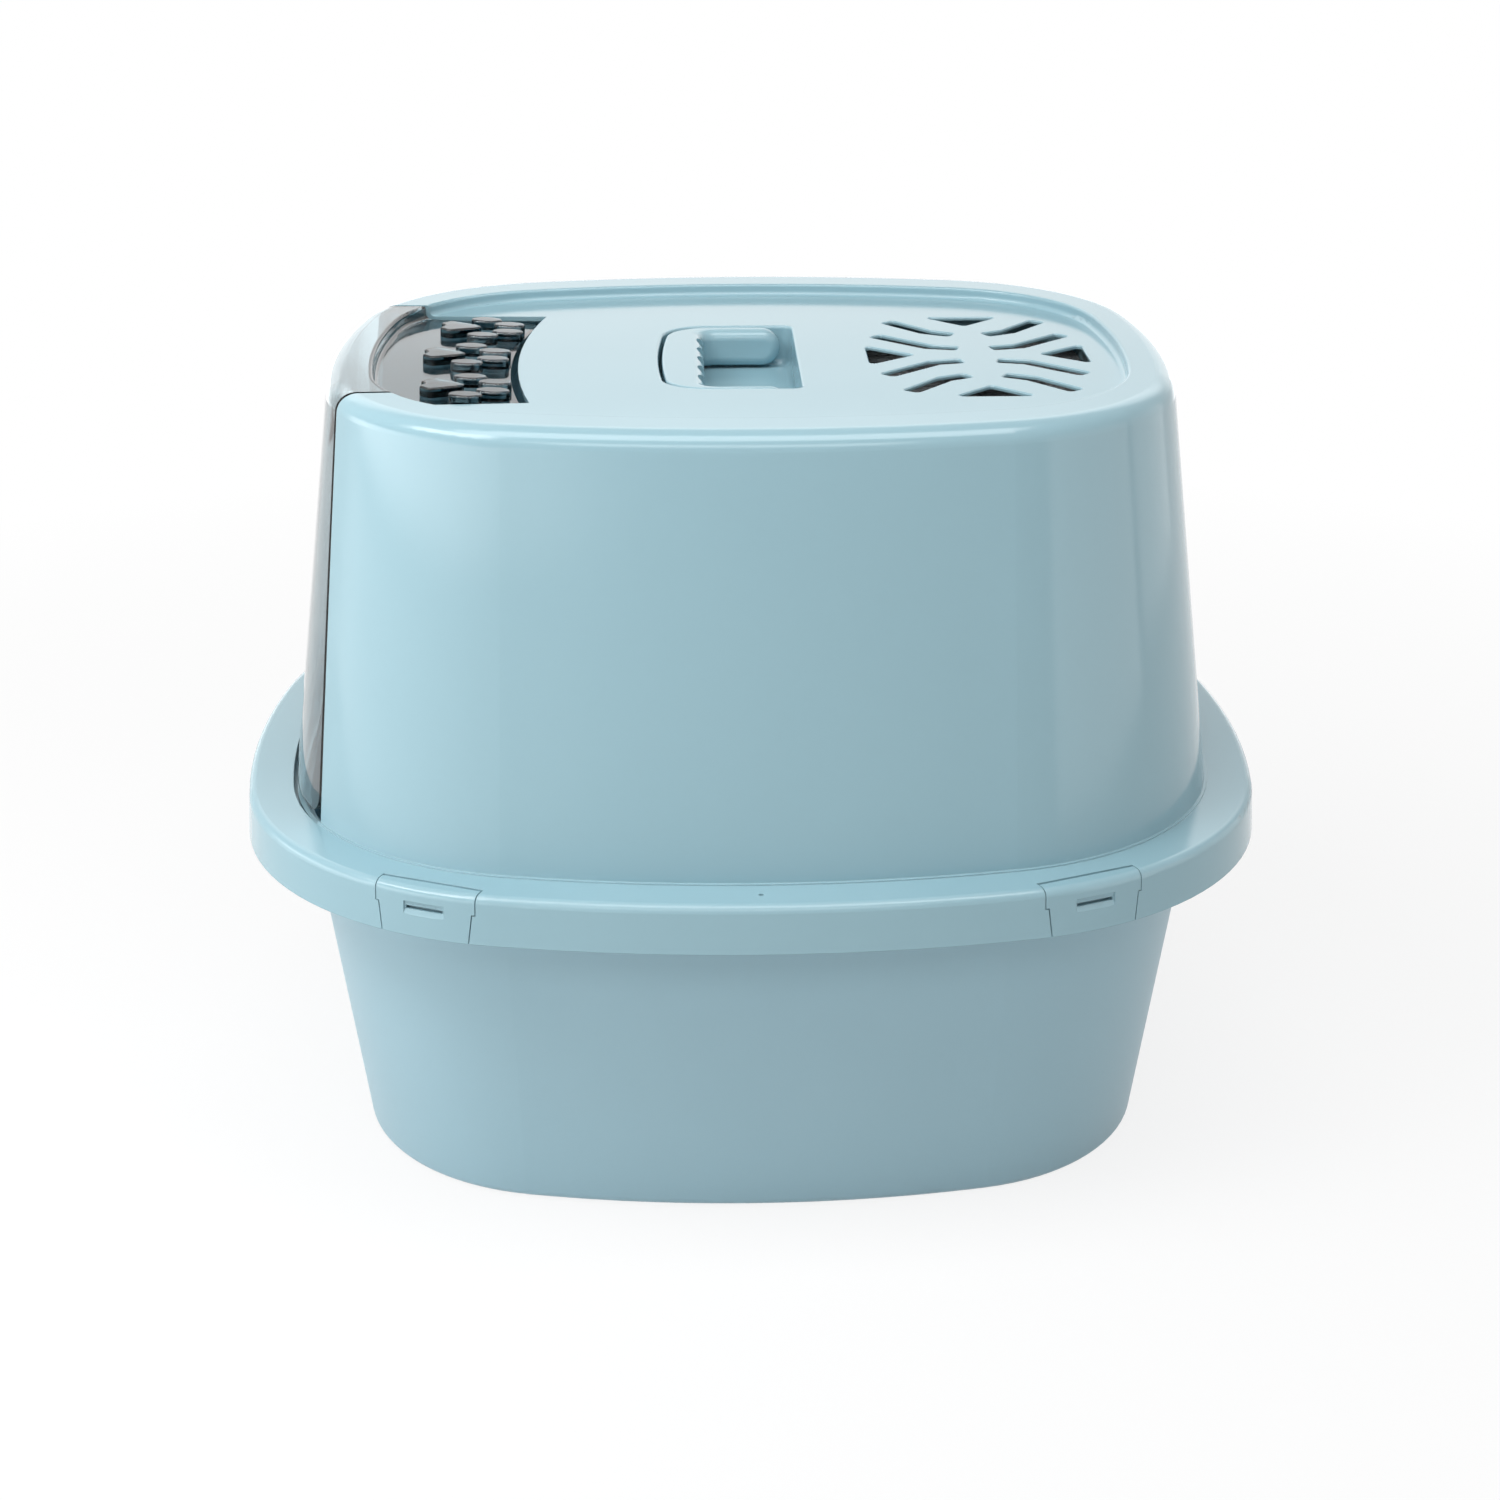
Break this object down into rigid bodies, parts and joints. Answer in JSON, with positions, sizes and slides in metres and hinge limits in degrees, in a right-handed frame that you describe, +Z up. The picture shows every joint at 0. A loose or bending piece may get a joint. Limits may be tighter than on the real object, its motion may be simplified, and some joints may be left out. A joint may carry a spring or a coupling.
{
  "type": "covered litter box",
  "caption": "Covered litter box: bowed oval pan, latched hood with sunk roof and vent, smoked swing door hung from the roof, and a sunk carry handle.",
  "frame": {"origin": "middle of the footprint, on the floor under the base rim", "axes": "+X to the rear, away from the swing door; +Y to the left side; +Z up"},
  "size_m": [0.5598, 0.484, 0.426],
  "materials": {
    "hood_blue": "gloss moulded polypropylene",
    "tray_blue": "satin moulded polypropylene",
    "smoke": "clear smoked styrene, polished",
    "filter_felt": "needled carbon felt"
  },
  "bodies": {
    "box": {"pan": "tray_blue", "hood": "hood_blue", "filter_grille": "hood_blue", "filter_pad": "filter_felt"},
    "door": {"swing_door": "smoke"},
    "handle": {"carry_handle": "hood_blue"},
    "latch_front_right_body": {"latch_front_right": "hood_blue"},
    "latch_front_left_body": {"latch_front_left": "hood_blue"},
    "latch_rear_right_body": {"latch_rear_right": "hood_blue"},
    "latch_rear_left_body": {"latch_rear_left": "hood_blue"}
  },
  "joints": [
    {"name": "door_swing", "type": "hinge", "parent": "box", "child": "door", "pos_m": [-0.2041, 0, 0.4115], "axis": [0, 1, 0], "range_deg": [-60, 80]},
    {"name": "handle_lift", "type": "hinge", "parent": "box", "child": "handle", "pos_m": [0.009, 0, 0.4087], "axis": [0, 1, 0], "range_deg": [0, 90]},
    {"name": "latch_front_right_flip", "type": "hinge", "parent": "box", "child": "latch_front_right_body", "pos_m": [-0.16368, -0.20849, 0.2016], "axis": [-0.9225, 0.3859, 0], "range_deg": [0, 75]},
    {"name": "latch_front_left_flip", "type": "hinge", "parent": "box", "child": "latch_front_left_body", "pos_m": [-0.16368, 0.20849, 0.2016], "axis": [0.9225, 0.3859, 0], "range_deg": [0, 75]},
    {"name": "latch_rear_right_flip", "type": "hinge", "parent": "box", "child": "latch_rear_right_body", "pos_m": [0.16368, -0.20849, 0.2016], "axis": [-0.9225, -0.3859, 0], "range_deg": [0, 75]},
    {"name": "latch_rear_left_flip", "type": "hinge", "parent": "box", "child": "latch_rear_left_body", "pos_m": [0.16368, 0.20849, 0.2016], "axis": [0.9225, -0.3859, 0], "range_deg": [0, 75]}
  ]
}
